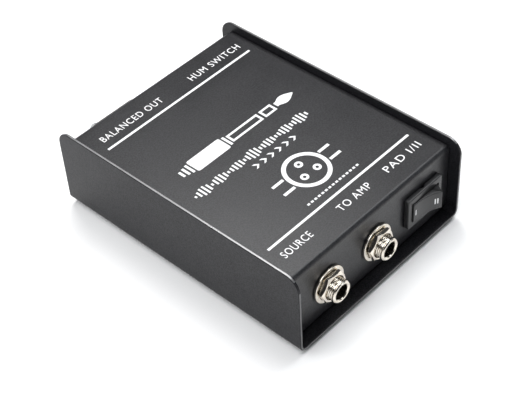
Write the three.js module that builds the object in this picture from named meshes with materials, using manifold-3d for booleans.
// A small passive direct injection box: a bent steel base with two side cheeks, a bent steel cover set down
// between them, two jack sockets and a rocker switch in front, a three-pin connector and a second rocker
// switch behind, and a transformer, a circuit board and hook-up leads inside.
// Millimetres. +Z is up, -Y is the front, +X is the right-hand side seen from the front.
// The origin is under the middle of the box, on the surface that it stands on.
import * as THREE from 'three';
import { mergeVertices } from 'three/addons/utils/BufferGeometryUtils.js';
import Module from 'manifold-3d';

const wasm = await Module();
wasm.setup();

// Driving dimensions -------------------------------------------------------------------------------
const CLEARANCE = 0.3;
const OVERCUT = 1;

const SHEET = 1.2;
const BASE_BEND = 1.8;
const COVER_BEND = 0.8;
const CASE_WIDTH = 95;
const CASE_DEPTH = 127;
const CASE_HEIGHT = 38;
const CHEEK_CORNER = 6.5;
const SCREW_HEAD = { radius: 2.8, thickness: 1.2 };
const SCREW_SHANK = 1.4;
const SCREW_HOLE = 1.75;
const SCREW_PROUD = 2;
const FOOT_HEIGHT = 2;
const FOOT_RADIUS = 6;
const FOOT_X = 37;
const FOOT_INSET = 22;

const TOP_DROP = 3.6;
const PANEL_SETBACK = 5;
const FLANGE_WIDTH = 10;
const CORNER_RELIEF = 2;
const FLANGE_SCREW_INSET = 11;
const FLANGE_SCREW_X = 35;

const BUSHING_REACH = 7.2;
const BUSHING_RADIUS = 4.75;
const BUSHING_BORE = 3.3;
const BUSHING_CHAMFER = 0.5;
const SHOULDER = { radius: 6.5, thickness: 1.5 };
const JACK_HOLE = 5.1;
const JACK_X = [-26.6, 1.2];
const JACK_HEIGHT = 19.3;
const JACK_BODY = 15.6;
const JACK_BODY_END = 27;
const PLUG_CHANNEL = 3.5;
const CHANNEL_WALL = 3;
const WASHER_RADIUS = 8;
const WASHER_THICKNESS = 1;
const NUT_ACROSS_FLATS = 12.2;
const NUT_THICKNESS = 2.2;
const NUT_TURN = { input: 56, output: 51 };
const SPRING_WIDTH = 4;
const SPRING_THICKNESS = 0.4;
const SPRING_LINE = 27.7;

const BEZEL_WIDTH = 21;
const BEZEL_HEIGHT = 15;
const BEZEL_THICKNESS = 2;
const HOUSING_WIDTH = 18.8;
const HOUSING_HEIGHT = 12.6;
const HOUSING_DEPTH = 13.5;
const HOUSING_FLOOR = 1.5;
const WELL_WIDTH = 16.7;
const WELL_HEIGHT = 9.5;
const ROCKER_TILT = 14;
const ROCKER_HALF = 6.9;
const ROCKER_CREST = 5.3;
const ROCKER_HEIGHT = 8.8;
const ROCKER_PIVOT = 0.4;
const PIVOT_RADIUS = 1.2;
const PLUNGER_BORE = 1.4;
const PLUNGER_TOP = 3.5;
const PLUNGER_TIP = 8;
const CONTACT_TILT = 7;
const CONTACT_HALF = 6;
const CONTACT_RISE = 8;
const CONTACT_THICKNESS = 0.5;
const CONTACT_WIDTH = 4.2;
const CONTACT_DEPTH = 8.8;
const TAB_THICKNESS = 0.8;
const TAB_WIDTH = 4.8;
const TAB_END = 21;
const TAB_PITCH = 5.2;
const PAD_SWITCH_X = 28.8;
const GROUND_SWITCH_X = 24.6;
const SWITCH_HEIGHT = 20.4;

const CONNECTOR_X = -21;
const CONNECTOR_HEIGHT = 20;
const CONNECTOR_FLANGE = { width: 26, height: 27, corner: 3.5, thickness: 2 };
const CONNECTOR_CUP = 11;
const CONNECTOR_BORE = 9.4;
const CONNECTOR_SCREW = [9.6, 10.1];
const CONNECTOR_SCREW_HEAD = { radius: 2.6, thickness: 1.6 };
const INSERT_FACE = 12.5;
const PIN_RADIUS = 1.2;
const PIN_PLACES = [[3.81, 1.87], [-3.81, 1.87], [0, -4.23]];
const PIN_TAIL = 22.5;

const RESISTOR = { radius: 1.2, length: 6, wire: 0.3, reach: 5, drop: 1.8, y: -25 };
const BOARD = { left: -41, right: 15, front: -54, rear: -20, bottom: 9.6, top: 11.2 };

const TRANSFORMER_X = -4;
const TRANSFORMER_Y = 14;
const CORE_WIDTH = 26;
const CORE_HEIGHT = 22;
const CORE_STACK = 9;
const CORE_LIMB = 3.5;
const CORE_LIFT = 1.4;
const WINDING = { x: 17.4, y: 19.4, corner: 3 };
const BRACKET_THICKNESS = 0.8;
const BRACKET_FOOT = 21;
const BRACKET_SCREW_X = 17.5;

const LEAD_RADIUS = 0.7;

// The case sits where the longest pieces in front and behind reach equally far from the origin.
const degrees = THREE.MathUtils.degToRad;
const rockerReach = ROCKER_HALF * Math.sin(degrees(ROCKER_TILT))
  + ROCKER_CREST * Math.cos(degrees(ROCKER_TILT)) - ROCKER_PIVOT;
const caseShift = (BUSHING_REACH - rockerReach) / 2;
const caseFront = caseShift - CASE_DEPTH / 2;
const caseRear = caseShift + CASE_DEPTH / 2;
const caseBottom = FOOT_HEIGHT;
const floorTop = caseBottom + SHEET;
const cheekTop = FOOT_HEIGHT + CASE_HEIGHT;
const coverTop = cheekTop - TOP_DROP;
const coverBottom = floorTop + CLEARANCE;
const panelFront = caseFront + PANEL_SETBACK;
const panelRear = caseRear - PANEL_SETBACK;
const coverHalfWidth = CASE_WIDTH / 2 - SHEET - CLEARANCE;
const flangeScrewRows = [caseFront + FLANGE_SCREW_INSET, caseRear - FLANGE_SCREW_INSET];

// Finishes -----------------------------------------------------------------------------------------
function finish(color, roughness, metalness) {
  return new THREE.MeshStandardMaterial({ color, roughness, metalness });
}

const FINISH = {
  powderCoat: () => finish(0x2b2b2d, 0.55, 0.2),
  nickel: () => finish(0xcfc9bd, 0.25, 1),
  zincSteel: () => finish(0xb9bcc0, 0.4, 1),
  blackPlastic: () => finish(0x161617, 0.4, 0),
  rubber: () => finish(0x121212, 0.9, 0),
  board: () => finish(0x1f5a35, 0.5, 0),
  laminations: () => finish(0x6d6f73, 0.5, 0.9),
  nylon: () => finish(0xe6e2d4, 0.6, 0),
  windingTape: () => finish(0xd9a93a, 0.4, 0),
  copper: () => finish(0xc98b4a, 0.35, 1),
  resistor: () => finish(0xc9b48a, 0.6, 0),
  redLead: () => finish(0xa8221f, 0.5, 0),
  whiteLead: () => finish(0xdedbd2, 0.5, 0),
  greenLead: () => finish(0x2d7a3c, 0.5, 0),
};

const box = new THREE.Group();

function addMesh(name, geometry, material, group = box) {
  const mesh = new THREE.Mesh(geometry, material);
  mesh.name = name;
  group.add(mesh);
  return mesh;
}

// Solids: three.js shapes, joined and cut ----------------------------------------------------------
function toSolid(geometry) {
  const bare = geometry.clone();
  bare.deleteAttribute('normal');
  bare.deleteAttribute('uv');
  const merged = mergeVertices(bare, 1e-4);
  return new wasm.Manifold(new wasm.Mesh({
    numProp: 3,
    vertProperties: new Float32Array(merged.attributes.position.array),
    triVerts: new Uint32Array(merged.index.array),
  }));
}

function toGeometry(solid) {
  const mesh = solid.getMesh();
  const geometry = new THREE.BufferGeometry();
  geometry.setAttribute('position', new THREE.BufferAttribute(new Float32Array(mesh.vertProperties), 3));
  geometry.setIndex(new THREE.BufferAttribute(new Uint32Array(mesh.triVerts), 1));
  geometry.computeVertexNormals();
  return geometry;
}

const join = (...pieces) => toGeometry(pieces.map(toSolid).reduce((whole, piece) => whole.add(piece)));
const common = (a, b) => toGeometry(toSolid(a).intersect(toSolid(b)));

function cut(blank, ...tools) {
  return toGeometry(tools.map(toSolid).reduce((rest, tool) => rest.subtract(tool), toSolid(blank)));
}

function block(x0, x1, y0, y1, z0, z1) {
  const geometry = new THREE.BoxGeometry(x1 - x0, y1 - y0, z1 - z0);
  return geometry.translate((x0 + x1) / 2, (y0 + y1) / 2, (z0 + z1) / 2);
}

// An outline drawn in (x, y), raised along +z between two heights.
function prismZ(shape, z0, z1, curveSegments = 6) {
  const geometry = new THREE.ExtrudeGeometry(shape, { depth: z1 - z0, bevelEnabled: false, curveSegments });
  return geometry.translate(0, 0, z0);
}

// An outline drawn in (y, z), raised along +x.
function prismX(shape, x0, x1, curveSegments = 6) {
  const turn = new THREE.Matrix4().makeBasis(
    new THREE.Vector3(0, 1, 0), new THREE.Vector3(0, 0, 1), new THREE.Vector3(1, 0, 0));
  return prismZ(shape, x0, x1, curveSegments).applyMatrix4(turn);
}

// An outline drawn in (x, z), raised along y.
function prismY(shape, y0, y1, curveSegments = 6) {
  const turn = new THREE.Matrix4().makeBasis(
    new THREE.Vector3(1, 0, 0), new THREE.Vector3(0, 0, 1), new THREE.Vector3(0, -1, 0));
  return prismZ(shape, -y1, -y0, curveSegments).applyMatrix4(turn);
}

function cylinderY(radius, y0, y1, x = 0, z = 0, sides = 24) {
  return new THREE.CylinderGeometry(radius, radius, y1 - y0, sides).translate(x, (y0 + y1) / 2, z);
}

function cylinderZ(radius, z0, z1, x = 0, y = 0, sides = 24) {
  const geometry = new THREE.CylinderGeometry(radius, radius, z1 - z0, sides).rotateX(Math.PI / 2);
  return geometry.translate(x, y, (z0 + z1) / 2);
}

// A turned piece about the y axis: its half section is a list of [radius, y].
function turned(section, sides = 24) {
  return new THREE.LatheGeometry(section.map(([r, y]) => new THREE.Vector2(r, y)), sides);
}

function polygon(points) {
  return new THREE.Shape(points.map(([x, y]) => new THREE.Vector2(x, y)));
}

function rectangle(width, height, corner) {
  const shape = new THREE.Shape();
  const [w, h] = [width / 2, height / 2];
  shape.moveTo(w, -h + corner);
  shape.absarc(w - corner, h - corner, corner, 0, Math.PI / 2);
  shape.absarc(-w + corner, h - corner, corner, Math.PI / 2, Math.PI);
  shape.absarc(-w + corner, -h + corner, corner, Math.PI, Math.PI * 1.5);
  shape.absarc(w - corner, -h + corner, corner, Math.PI * 1.5, Math.PI * 2);
  shape.closePath();
  return shape;
}

// The section of a sheet bent at right angles, always to the right. The skin line is the sheet's outer face.
function bentSheet(skin, bend) {
  const outer = bend + SHEET;
  const points = skin.map(([x, y]) => new THREE.Vector2(x, y));
  const headings = points.slice(1).map((point, i) => point.clone().sub(points[i]).normalize());
  const inward = headings.map((heading) => new THREE.Vector2(heading.y, -heading.x));
  const bends = points.slice(1, -1).map((corner, i) => ({
    centre: corner.clone().addScaledVector(headings[i], -outer).addScaledVector(inward[i], outer),
    from: Math.atan2(-inward[i].y, -inward[i].x),
    to: Math.atan2(-inward[i + 1].y, -inward[i + 1].x),
  }));
  const shape = new THREE.Shape();
  shape.moveTo(points[0].x, points[0].y);
  bends.forEach(({ centre, from, to }) => shape.absarc(centre.x, centre.y, outer, from, to, true));
  const end = points.at(-1);
  const endInner = end.clone().addScaledVector(inward.at(-1), SHEET);
  const startInner = points[0].clone().addScaledVector(inward[0], SHEET);
  shape.lineTo(end.x, end.y);
  shape.lineTo(endInner.x, endInner.y);
  bends.toReversed().forEach(({ centre, from, to }) => {
    shape.absarc(centre.x, centre.y, bend, to, from, false);
  });
  shape.lineTo(startInner.x, startInner.y);
  shape.closePath();
  return shape;
}

// The section of a thin strip folded sharply along a line of points.
function foldedStrip(line, thickness) {
  const points = line.map(([x, y]) => new THREE.Vector2(x, y));
  const headings = points.slice(1).map((point, i) => point.clone().sub(points[i]).normalize());
  const normals = headings.map((heading) => new THREE.Vector2(-heading.y, heading.x));
  const offset = (i) => {
    const before = normals[Math.max(i - 1, 0)];
    const after = normals[Math.min(i, normals.length - 1)];
    const middle = before.clone().add(after).normalize();
    return middle.multiplyScalar(thickness / 2 / middle.dot(after));
  };
  const left = points.map((point, i) => point.clone().add(offset(i)));
  const right = points.map((point, i) => point.clone().sub(offset(i)));
  return new THREE.Shape([...right, ...left.reverse()]);
}

// A round wire or lead along a smooth curve through its points.
function wire(points, radius, sides = 8, stepLength = 3) {
  const places = points.map((point) => new THREE.Vector3(...point));
  const route = new THREE.CatmullRomCurve3(places, false, 'centripetal');
  const section = new THREE.Shape();
  section.absarc(0, 0, radius, 0, Math.PI * 2);
  const steps = Math.max(4, Math.round(route.getLength() / (stepLength * radius * 2)));
  const curveSegments = sides / 2;
  return new THREE.ExtrudeGeometry(section, { steps, extrudePath: route, curveSegments, bevelEnabled: false });
}

// Case ---------------------------------------------------------------------------------------------
// Each screw goes up through the base and stands a little proud of what it holds.
function screwFromBelow(name, x, y, heldTop) {
  const headTop = caseBottom - CLEARANCE;
  const headBottom = headTop - SCREW_HEAD.thickness;
  const head = cylinderZ(SCREW_HEAD.radius, headBottom, headTop, x, y, 16);
  const shankBottom = headBottom + SCREW_HEAD.thickness / 2;
  const shank = cylinderZ(SCREW_SHANK, shankBottom, heldTop + SCREW_PROUD, x, y, 16);
  addMesh(name, join(head, shank), FINISH.zincSteel());
}

function addChassisBase() {
  const half = CASE_WIDTH / 2;
  const skin = [[half, cheekTop], [half, caseBottom], [-half, caseBottom], [-half, cheekTop]];
  const section = bentSheet(skin, BASE_BEND);
  const channel = prismY(section, caseFront, caseRear);
  const cheek = new THREE.Shape();
  cheek.moveTo(caseFront, caseBottom - OVERCUT);
  cheek.lineTo(caseRear, caseBottom - OVERCUT);
  cheek.absarc(caseRear - CHEEK_CORNER, cheekTop - CHEEK_CORNER, CHEEK_CORNER, 0, Math.PI / 2);
  cheek.absarc(caseFront + CHEEK_CORNER, cheekTop - CHEEK_CORNER, CHEEK_CORNER, Math.PI / 2, Math.PI);
  cheek.closePath();
  const rounded = common(channel, prismX(cheek, -half - OVERCUT, half + OVERCUT, 8));
  const coverHoles = flangeScrewRows.flatMap((y) => [-1, 1].map((side) => [side * FLANGE_SCREW_X, y]));
  const bracketHoles = [-1, 1].map((side) => [TRANSFORMER_X + side * BRACKET_SCREW_X, TRANSFORMER_Y]);
  const holes = [...coverHoles, ...bracketHoles].map(([x, y]) => cylinderZ(
    SCREW_HOLE, caseBottom - OVERCUT, floorTop + OVERCUT, x, y, 16));
  addMesh('chassis_base', cut(rounded, ...holes), FINISH.powderCoat());
  coverHoles.forEach(([x, y], i) => screwFromBelow(`base_screw_${i + 1}`, x, y, coverBottom + SHEET));
}

function addFeet() {
  const rows = [caseFront + FOOT_INSET, caseRear - FOOT_INSET];
  rows.flatMap((y) => [-FOOT_X, FOOT_X].map((x) => [x, y])).forEach(([x, y], i) => {
    const foot = cylinderZ(FOOT_RADIUS, 0, FOOT_HEIGHT - CLEARANCE, x, y);
    addMesh(`foot_${i + 1}`, foot, FINISH.rubber());
  });
}

function addTopCover() {
  const section = bentSheet([
    [panelFront + FLANGE_WIDTH, coverBottom], [panelFront, coverBottom], [panelFront, coverTop],
    [panelRear, coverTop], [panelRear, coverBottom], [panelRear - FLANGE_WIDTH, coverBottom],
  ], COVER_BEND);
  const blank = prismX(section, -coverHalfWidth, coverHalfWidth);
  const frontCut = [panelFront - OVERCUT, panelFront + SHEET + OVERCUT];
  const rearCut = [panelRear - SHEET - OVERCUT, panelRear + OVERCUT];
  const jackHoles = JACK_X.map((x) => cylinderY(JACK_HOLE, ...frontCut, x, JACK_HEIGHT));
  const switchHole = ([y0, y1], x) => block(
    x - HOUSING_WIDTH / 2 - CLEARANCE, x + HOUSING_WIDTH / 2 + CLEARANCE, y0, y1,
    SWITCH_HEIGHT - HOUSING_HEIGHT / 2 - CLEARANCE, SWITCH_HEIGHT + HOUSING_HEIGHT / 2 + CLEARANCE);
  const cupHole = cylinderY(CONNECTOR_CUP + CLEARANCE, ...rearCut, CONNECTOR_X, CONNECTOR_HEIGHT, 32);
  const [screwX, screwZ] = CONNECTOR_SCREW;
  const connectorScrewHoles = [-1, 1].map((side) => cylinderY(
    SCREW_HOLE, ...rearCut, CONNECTOR_X - side * screwX, CONNECTOR_HEIGHT + side * screwZ, 12));
  const flangeHoles = flangeScrewRows.flatMap((y) => [-FLANGE_SCREW_X, FLANGE_SCREW_X].map(
    (x) => cylinderZ(SCREW_HOLE, coverBottom - OVERCUT, coverBottom + SHEET + OVERCUT, x, y, 16)));
  const reliefs = [-1, 1].map((side) => block(
    side * coverHalfWidth - CORNER_RELIEF, side * coverHalfWidth + CORNER_RELIEF, caseFront, caseRear,
    coverBottom - OVERCUT, coverBottom + CORNER_RELIEF));
  addMesh('top_cover', cut(blank, ...jackHoles, switchHole(frontCut, PAD_SWITCH_X), cupHole, ...reliefs,
    switchHole(rearCut, GROUND_SWITCH_X), ...connectorScrewHoles, ...flangeHoles), FINISH.powderCoat());
}

// Panel pieces are drawn about a point on the panel's outer face: -y is outward, +y goes into the box.
function panelGroup(x, y, z, facesRear = false) {
  const group = new THREE.Group();
  group.position.set(x, y, z);
  group.rotation.z = facesRear ? Math.PI : 0;
  box.add(group);
  return group;
}

// Jacks --------------------------------------------------------------------------------------------
function hexagonNut(y0, y1, turn) {
  const corner = NUT_ACROSS_FLATS / Math.sqrt(3);
  const outline = polygon(Array.from({ length: 6 }, (_, i) => [
    corner * Math.cos(turn + i * Math.PI / 3), corner * Math.sin(turn + i * Math.PI / 3)]));
  const crown = turned([[0, y0], [corner - 1, y0], [corner + 0.2, y0 + 0.8], [corner + 0.2, y1], [0, y1]]);
  return cut(common(prismY(outline, y0, y1), crown), cylinderY(JACK_HOLE, y0 - OVERCUT, y1 + OVERCUT));
}

function addJack(label, x) {
  const group = panelGroup(x, panelFront, JACK_HEIGHT);
  const part = (name, geometry, material) => addMesh(`${label}_jack_${name}`, geometry, material, group);

  const washerFace = -CLEARANCE - WASHER_THICKNESS;
  const nutBack = washerFace - CLEARANCE;
  part('washer', turned([
    [JACK_HOLE, -CLEARANCE],
    [JACK_HOLE, washerFace],
    [WASHER_RADIUS, washerFace],
    [WASHER_RADIUS, -CLEARANCE],
    [JACK_HOLE, -CLEARANCE],
  ]), FINISH.nickel());
  part('nut', hexagonNut(nutBack - NUT_THICKNESS, nutBack, degrees(NUT_TURN[label])), FINISH.nickel());

  const shoulder = SHEET + CLEARANCE;
  const shoulderEnd = shoulder + SHOULDER.thickness;
  const chamferEnd = BUSHING_CHAMFER - BUSHING_REACH;
  part('bushing', turned([
    [BUSHING_BORE, shoulderEnd],
    [BUSHING_BORE, chamferEnd],
    [BUSHING_BORE + 0.4, -BUSHING_REACH],
    [BUSHING_RADIUS - BUSHING_CHAMFER, -BUSHING_REACH],
    [BUSHING_RADIUS, chamferEnd],
    [BUSHING_RADIUS, shoulder],
    [SHOULDER.radius, shoulder],
    [SHOULDER.radius, shoulderEnd],
    [BUSHING_BORE, shoulderEnd],
  ]), FINISH.nickel());

  const front = shoulderEnd + CLEARANCE;
  const half = JACK_BODY / 2;
  const channelEnd = JACK_BODY_END - CHANNEL_WALL;
  const slotHalf = SPRING_WIDTH / 2 + 2 * CLEARANCE;
  const shell = block(-half, half, front, JACK_BODY_END, -half, half);
  const plugBore = cylinderY(PLUG_CHANNEL, front - OVERCUT, channelEnd);
  const springSlot = block(-slotHalf, slotHalf, channelEnd / 2, channelEnd, 0, half + OVERCUT);
  part('body', cut(shell, plugBore, springSlot), FINISH.blackPlastic());

  const springTop = half + CLEARANCE + SPRING_THICKNESS / 2;
  const leafLine = [[SPRING_LINE, -11], [SPRING_LINE, springTop], [22, springTop], [17.5, 2.9], [15.3, 5.2]];
  const leaf = foldedStrip(leafLine, SPRING_THICKNESS);
  part('tip_spring', prismX(leaf, -SPRING_WIDTH / 2, SPRING_WIDTH / 2), FINISH.copper());
}

// Rocker switches ----------------------------------------------------------------------------------
function switchHousing() {
  const bezel = prismY(rectangle(BEZEL_WIDTH, BEZEL_HEIGHT, 1), -CLEARANCE - BEZEL_THICKNESS, -CLEARANCE);
  const [w, h] = [HOUSING_WIDTH / 2, HOUSING_HEIGHT / 2];
  const body = block(-w, w, -CLEARANCE - 0.5, HOUSING_DEPTH, -h, h);
  const rightLug = [[w - 0.5, 1.6], [w + 1, 1.6], [w - 0.5, 6]];
  const leftLug = rightLug.toReversed().map(([x, y]) => [-x, y]);
  const lugs = [leftLug, rightLug].map((outline) => prismZ(polygon(outline), -2, 2));
  const wellFloor = HOUSING_DEPTH - HOUSING_FLOOR;
  const well = block(
    -WELL_WIDTH / 2, WELL_WIDTH / 2, -2 * BEZEL_THICKNESS, wellFloor, -WELL_HEIGHT / 2, WELL_HEIGHT / 2);
  const pivotHole = cylinderZ(PIVOT_RADIUS + CLEARANCE, -h - OVERCUT, h + OVERCUT, 0, ROCKER_PIVOT, 16);
  const slotHalf = TAB_THICKNESS / 2 + CLEARANCE;
  const slots = [-1, 0, 1].map((place) => block(
    place * TAB_PITCH - slotHalf, place * TAB_PITCH + slotHalf, wellFloor - OVERCUT, HOUSING_DEPTH + OVERCUT,
    -TAB_WIDTH / 2 - CLEARANCE, TAB_WIDTH / 2 + CLEARANCE));
  return cut(join(bezel, body, ...lugs), well, pivotHole, ...slots);
}

// The rocker is drawn level about its pivot: two flat halves that meet in a soft valley.
function rockerBody() {
  const slope = Math.tan(degrees(ROCKER_TILT));
  const valley = 2.2;
  const valleyEdge = -ROCKER_CREST + (ROCKER_HALF - valley) * slope;
  const shape = new THREE.Shape();
  shape.moveTo(-ROCKER_HALF, -ROCKER_CREST);
  shape.lineTo(-valley, valleyEdge);
  shape.quadraticCurveTo(0, -ROCKER_CREST + ROCKER_HALF * slope, valley, valleyEdge);
  shape.lineTo(ROCKER_HALF, -ROCKER_CREST);
  const side = [[7.65, -2], [7.9, -0.8], [7, 1.8], [2.4, 2.4], [2.4, 5.2]];
  side.forEach(([x, y]) => shape.lineTo(x, y));
  side.toReversed().forEach(([x, y]) => shape.lineTo(-x, y));
  shape.closePath();
  const blank = prismZ(shape, -ROCKER_HEIGHT / 2, ROCKER_HEIGHT / 2);
  const pinReach = HOUSING_HEIGHT / 2 - 0.7;
  const pivotPins = cylinderZ(PIVOT_RADIUS, -pinReach, pinReach, 0, 0, 16);
  return cut(join(blank, pivotPins), cylinderY(PLUNGER_BORE, PIVOT_RADIUS - 0.6, 6, 0, 0, 16));
}

function plungerSpring() {
  const turns = 3;
  const stepsPerTurn = 8;
  const [top, bottom, radius] = [1.1, 3.1, 0.8];
  const points = Array.from({ length: turns * stepsPerTurn + 1 }, (_, i) => {
    const angle = i * 2 * Math.PI / stepsPerTurn;
    const height = top + (bottom - top) * i / (turns * stepsPerTurn);
    return [radius * Math.cos(angle), height, radius * Math.sin(angle)];
  });
  return wire(points, 0.14, 6, 2.2);
}

function addRockerSwitch(label, x, y, facesRear, tabPlaces) {
  const group = panelGroup(x, y, SWITCH_HEIGHT, facesRear);
  const part = (name, geometry, material, parent) => {
    addMesh(`${label}_switch_${name}`, geometry, material, parent);
  };
  part('housing', switchHousing(), FINISH.blackPlastic(), group);

  const rocking = new THREE.Group();
  rocking.position.y = ROCKER_PIVOT;
  rocking.rotation.z = -degrees(ROCKER_TILT);
  group.add(rocking);
  part('rocker', rockerBody(), FINISH.blackPlastic(), rocking);
  const plungerRadius = PLUNGER_BORE - CLEARANCE;
  const plunger = turned([
    [0, PLUNGER_TOP], [plungerRadius, PLUNGER_TOP], [plungerRadius, PLUNGER_TIP - 0.8],
    [plungerRadius / 2, PLUNGER_TIP - 0.1], [0, PLUNGER_TIP]], 12);
  part('plunger', plunger, FINISH.nylon(), rocking);
  part('spring', plungerSpring(), FINISH.zincSteel(), rocking);

  const seesaw = new THREE.Group();
  seesaw.position.y = ROCKER_PIVOT + CONTACT_DEPTH;
  seesaw.rotation.z = degrees(CONTACT_TILT);
  group.add(seesaw);
  const rise = CONTACT_HALF * Math.tan(degrees(CONTACT_RISE));
  const strip = foldedStrip([[-CONTACT_HALF, -rise], [0, 0], [CONTACT_HALF, -rise]], CONTACT_THICKNESS);
  const contact = prismZ(strip, -CONTACT_WIDTH / 2, CONTACT_WIDTH / 2);
  part('contact', contact.translate(0, -CONTACT_THICKNESS / 2, 0), FINISH.copper(), seesaw);

  tabPlaces.forEach((place, i) => {
    const middle = place * TAB_PITCH;
    const tab = block(middle - TAB_THICKNESS / 2, middle + TAB_THICKNESS / 2,
      ROCKER_PIVOT + CONTACT_DEPTH + CLEARANCE, TAB_END, -TAB_WIDTH / 2, TAB_WIDTH / 2);
    part(`terminal_${i + 1}`, tab, FINISH.zincSteel(), group);
  });
}

// Three-pin connector ------------------------------------------------------------------------------
function addConnector() {
  const group = panelGroup(CONNECTOR_X, panelRear, CONNECTOR_HEIGHT, true);
  const part = (name, geometry, material) => addMesh(`xlr_${name}`, geometry, material, group);

  const face = -CLEARANCE - CONNECTOR_FLANGE.thickness;
  const cupEnd = 17;
  const lip = cupEnd - 1.5;
  const lipBore = 7;
  const { width, height, corner } = CONNECTOR_FLANGE;
  const flange = prismY(rectangle(width, height, corner), face, -CLEARANCE);
  const cup = cylinderY(CONNECTOR_CUP, face / 2, cupEnd, 0, 0, 32);
  const hollow = turned([
    [0, face - OVERCUT], [CONNECTOR_BORE, face - OVERCUT], [CONNECTOR_BORE, lip], [lipBore, lip],
    [lipBore, cupEnd + OVERCUT], [0, cupEnd + OVERCUT]], 32);
  const screwPlaces = [-1, 1].map((side) => [side * CONNECTOR_SCREW[0], side * CONNECTOR_SCREW[1]]);
  const screwHoles = screwPlaces.map(([x, z]) => cylinderY(SCREW_HOLE, face - OVERCUT, OVERCUT, x, z, 12));
  const latchNotch = block(-2, 2, face + 3, face + 6, CONNECTOR_BORE - 1, CONNECTOR_BORE + 1);
  part('shell', cut(join(flange, cup), hollow, latchNotch, ...screwHoles), FINISH.nickel());

  const insertRim = CONNECTOR_BORE - CLEARANCE;
  const insertEnd = 19;
  const disc = turned([
    [0, INSERT_FACE],
    [insertRim, INSERT_FACE],
    [insertRim, lip - CLEARANCE],
    [lipBore - CLEARANCE, lip - CLEARANCE],
    [lipBore - CLEARANCE, insertEnd],
    [0, insertEnd],
  ], 32);
  const pinHoles = PIN_PLACES.map(([x, z]) => cylinderY(
    PIN_RADIUS + CLEARANCE, INSERT_FACE - OVERCUT, insertEnd + OVERCUT, x, z, 16));
  part('insert', cut(disc, ...pinHoles), FINISH.blackPlastic());

  PIN_PLACES.forEach(([x, z], i) => {
    const pin = turned([[0, -1.3], [0.7, -1.1], [PIN_RADIUS, -0.4], [PIN_RADIUS, PIN_TAIL], [0, PIN_TAIL]], 16);
    part(`pin_${i + 1}`, pin.translate(x, 0, z), FINISH.nickel());
  });

  screwPlaces.forEach(([x, z], i) => {
    const seat = face - CLEARANCE;
    const { radius, thickness } = CONNECTOR_SCREW_HEAD;
    const head = cylinderY(radius, seat - thickness, seat, x, z, 16);
    const shank = cylinderY(SCREW_SHANK, seat - thickness / 2, SHEET + 2 * SCREW_PROUD, x, z, 16);
    part(`screw_${i + 1}`, join(head, shank), FINISH.zincSteel());
  });
}

// Circuit board and pad resistors ------------------------------------------------------------------
function addBoard() {
  const blank = block(BOARD.left, BOARD.right, BOARD.front, BOARD.rear, BOARD.bottom, BOARD.top);
  const [slotX, slotY] = [SPRING_WIDTH / 2 + CLEARANCE, SPRING_THICKNESS / 2 + CLEARANCE];
  const springLine = panelFront + SPRING_LINE;
  const slots = JACK_X.map((x) => block(
    x - slotX, x + slotX, springLine - slotY, springLine + slotY,
    BOARD.bottom - OVERCUT, BOARD.top + OVERCUT));
  addMesh('circuit_board', cut(blank, ...slots), FINISH.board());

  [-20, -9].forEach((x, i) => {
    const { reach, drop, radius, length, y } = RESISTOR;
    const legs = wire([[-reach, 0, -drop], [-reach, 0, -drop / 3], [-reach + 0.8, 0, 0], [0, 0, 0],
      [reach - 0.8, 0, 0], [reach, 0, -drop / 3], [reach, 0, -drop]], RESISTOR.wire, 6);
    const body = new THREE.CylinderGeometry(radius, radius, length, 16).rotateZ(Math.PI / 2);
    const resistor = join(legs, body).translate(x, y, BOARD.top + CLEARANCE + drop);
    addMesh(`pad_resistor_${i + 1}`, resistor, FINISH.resistor());
  });
}

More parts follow.
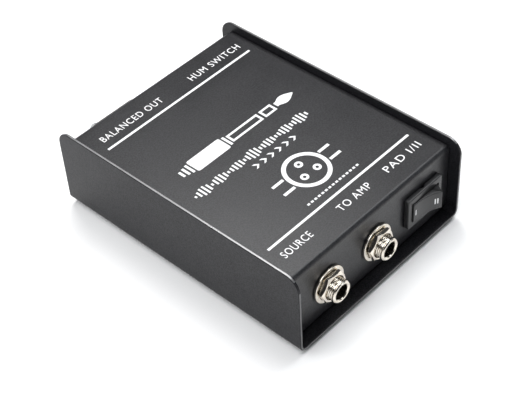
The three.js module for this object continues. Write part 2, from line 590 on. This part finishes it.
// Transformer --------------------------------------------------------------------------------------
function addTransformer() {
  const group = new THREE.Group();
  group.position.set(TRANSFORMER_X, TRANSFORMER_Y, floorTop + CORE_LIFT);
  box.add(group);
  const part = (name, geometry, material) => addMesh(`transformer_${name}`, geometry, material, group);

  const window = {
    inner: CORE_LIMB,
    outer: CORE_WIDTH / 2 - CORE_LIMB,
    low: CORE_LIMB,
    high: CORE_HEIGHT - CORE_LIMB,
  };
  const half = CORE_STACK / 2;
  const stack = block(-CORE_WIDTH / 2, CORE_WIDTH / 2, -half, half, 0, CORE_HEIGHT);
  const windows = [-1, 1].map((side) => block(
    Math.min(side * window.inner, side * window.outer), Math.max(side * window.inner, side * window.outer),
    -half - OVERCUT, half + OVERCUT, window.low, window.high));
  part('core', cut(stack, ...windows), FINISH.laminations());

  const low = window.low + CLEARANCE;
  const high = window.high - CLEARANCE;
  const cheek = 0.8;
  const tubeX = CORE_LIMB + CLEARANCE + cheek;
  const tubeY = half + CLEARANCE + cheek;
  const flangeX = window.outer - 2 * CLEARANCE;
  const flangeY = 10;
  const flange = (z) => block(-flangeX, flangeX, -flangeY, flangeY, z, z + cheek);
  const spool = join(block(-tubeX, tubeX, -tubeY, tubeY, low, high), flange(low), flange(high - cheek));
  const through = (x, y) => block(
    -x - CLEARANCE, x + CLEARANCE, -y - CLEARANCE, y + CLEARANCE, 0, CORE_HEIGHT);
  part('bobbin', cut(spool, through(CORE_LIMB, half)), FINISH.nylon());

  const wound = rectangle(WINDING.x, WINDING.y, WINDING.corner);
  const coil = prismZ(wound, low + cheek + CLEARANCE, high - cheek - CLEARANCE);
  part('winding', cut(coil, through(tubeX, tubeY)), FINISH.windingTape());

  const wall = CORE_WIDTH / 2 + CLEARANCE + BRACKET_THICKNESS / 2;
  const footLine = CLEARANCE + BRACKET_THICKNESS / 2 - CORE_LIFT;
  const roofLine = CORE_HEIGHT + CLEARANCE + BRACKET_THICKNESS / 2;
  const strapLine = [
    [-BRACKET_FOOT, footLine], [-wall, footLine], [-wall, roofLine],
    [wall, roofLine], [wall, footLine], [BRACKET_FOOT, footLine],
  ];
  const strap = foldedStrip(strapLine, BRACKET_THICKNESS);
  const holes = [-1, 1].map((side) => cylinderZ(
    SCREW_HOLE, footLine - OVERCUT, footLine + OVERCUT, side * BRACKET_SCREW_X, 0, 16));
  part('bracket', cut(prismY(strap, -half, half), ...holes), FINISH.zincSteel());
  const footTop = floorTop + CLEARANCE + BRACKET_THICKNESS;
  [-1, 1].forEach((side, i) => screwFromBelow(
    `transformer_screw_${i + 1}`, TRANSFORMER_X + side * BRACKET_SCREW_X, TRANSFORMER_Y, footTop));
}

// Hook-up leads ------------------------------------------------------------------------------------
function addLeads() {
  const lead = (name, points, material) => addMesh(name, wire(points, LEAD_RADIUS), material);
  const landing = BOARD.top + CLEARANCE;
  const tabFront = panelFront + TAB_END + CLEARANCE;
  const tabRear = panelRear - TAB_END - CLEARANCE;
  const windingFront = TRANSFORMER_Y - WINDING.y / 2 - CLEARANCE;
  const windingRear = TRANSFORMER_Y + WINDING.y / 2 + CLEARANCE;
  const pinEnd = panelRear - PIN_TAIL - CLEARANCE;
  const pinSpot = ([x, z]) => [CONNECTOR_X - x, pinEnd, CONNECTOR_HEIGHT + z];

  [0, 1, 2].forEach((i) => {
    const x = PAD_SWITCH_X + (i - 1) * TAB_PITCH;
    const landX = 12.5 - 3.4 * i;
    const landY = -24 + 0.8 * i;
    lead(`pad_lead_${i + 1}`, [
      [x, tabFront, SWITCH_HEIGHT], [x, tabFront + 3 + 2 * i, SWITCH_HEIGHT],
      [18 - 0.5 * i, landY + 2.5 * i, 19 + 2.6 * i], [landX, landY, 16 + 2 * i], [landX, landY, landing]],
    FINISH.whiteLead());
  });

  [0, 1].forEach((i) => {
    const x = -8 + 6 * i;
    const z = 12.5 + 4 * i;
    lead(`primary_lead_${i + 1}`, [
      [x, -21.5, landing], [x, -21, 15], [x - 1, -12, 20 - 3 * i], [x, -3, z + 1], [x, windingFront, z]],
    FINISH.redLead());
  });

  PIN_PLACES.slice(1).forEach((place, i) => {
    const end = pinSpot(place);
    const x = -9 + 5 * i;
    const z = 18 - 6 * i;
    lead(`secondary_lead_${i + 1}`, [
      [x, windingRear, z], [x, windingRear + 3, z], [(x + end[0]) / 2, windingRear + 6, (z + end[2]) / 2],
      [end[0], pinEnd - 3, end[2]], end],
    FINISH.greenLead());
  });

  const groundPin = pinSpot(PIN_PLACES[0]);
  const tab = (place) => [GROUND_SWITCH_X - place * TAB_PITCH, tabRear, SWITCH_HEIGHT];
  lead('ground_lead_1', [
    groundPin, [groundPin[0], pinEnd - 4, groundPin[2] + 1], [-14, 29, 29], [2, 28, 31],
    [15, 30, 26], [tab(0)[0], tabRear - 4, SWITCH_HEIGHT], tab(0)], FINISH.whiteLead());
  lead('ground_lead_2', [
    tab(-1), [tab(-1)[0], tabRear - 4, SWITCH_HEIGHT], [28, 24, 14], [24, 6, 8], [20, -10, 12],
    [14, -16.5, 18], [13, -21, 15], [13, -21.4, landing]], FINISH.whiteLead());
}

addChassisBase();
addTopCover();
addFeet();
addJack('input', JACK_X[0]);
addJack('output', JACK_X[1]);
addRockerSwitch('pad', PAD_SWITCH_X, panelFront, false, [-1, 0, 1]);
addRockerSwitch('ground', GROUND_SWITCH_X, panelRear, true, [-1, 0]);
addConnector();
addBoard();
addTransformer();
addLeads();

export default box;
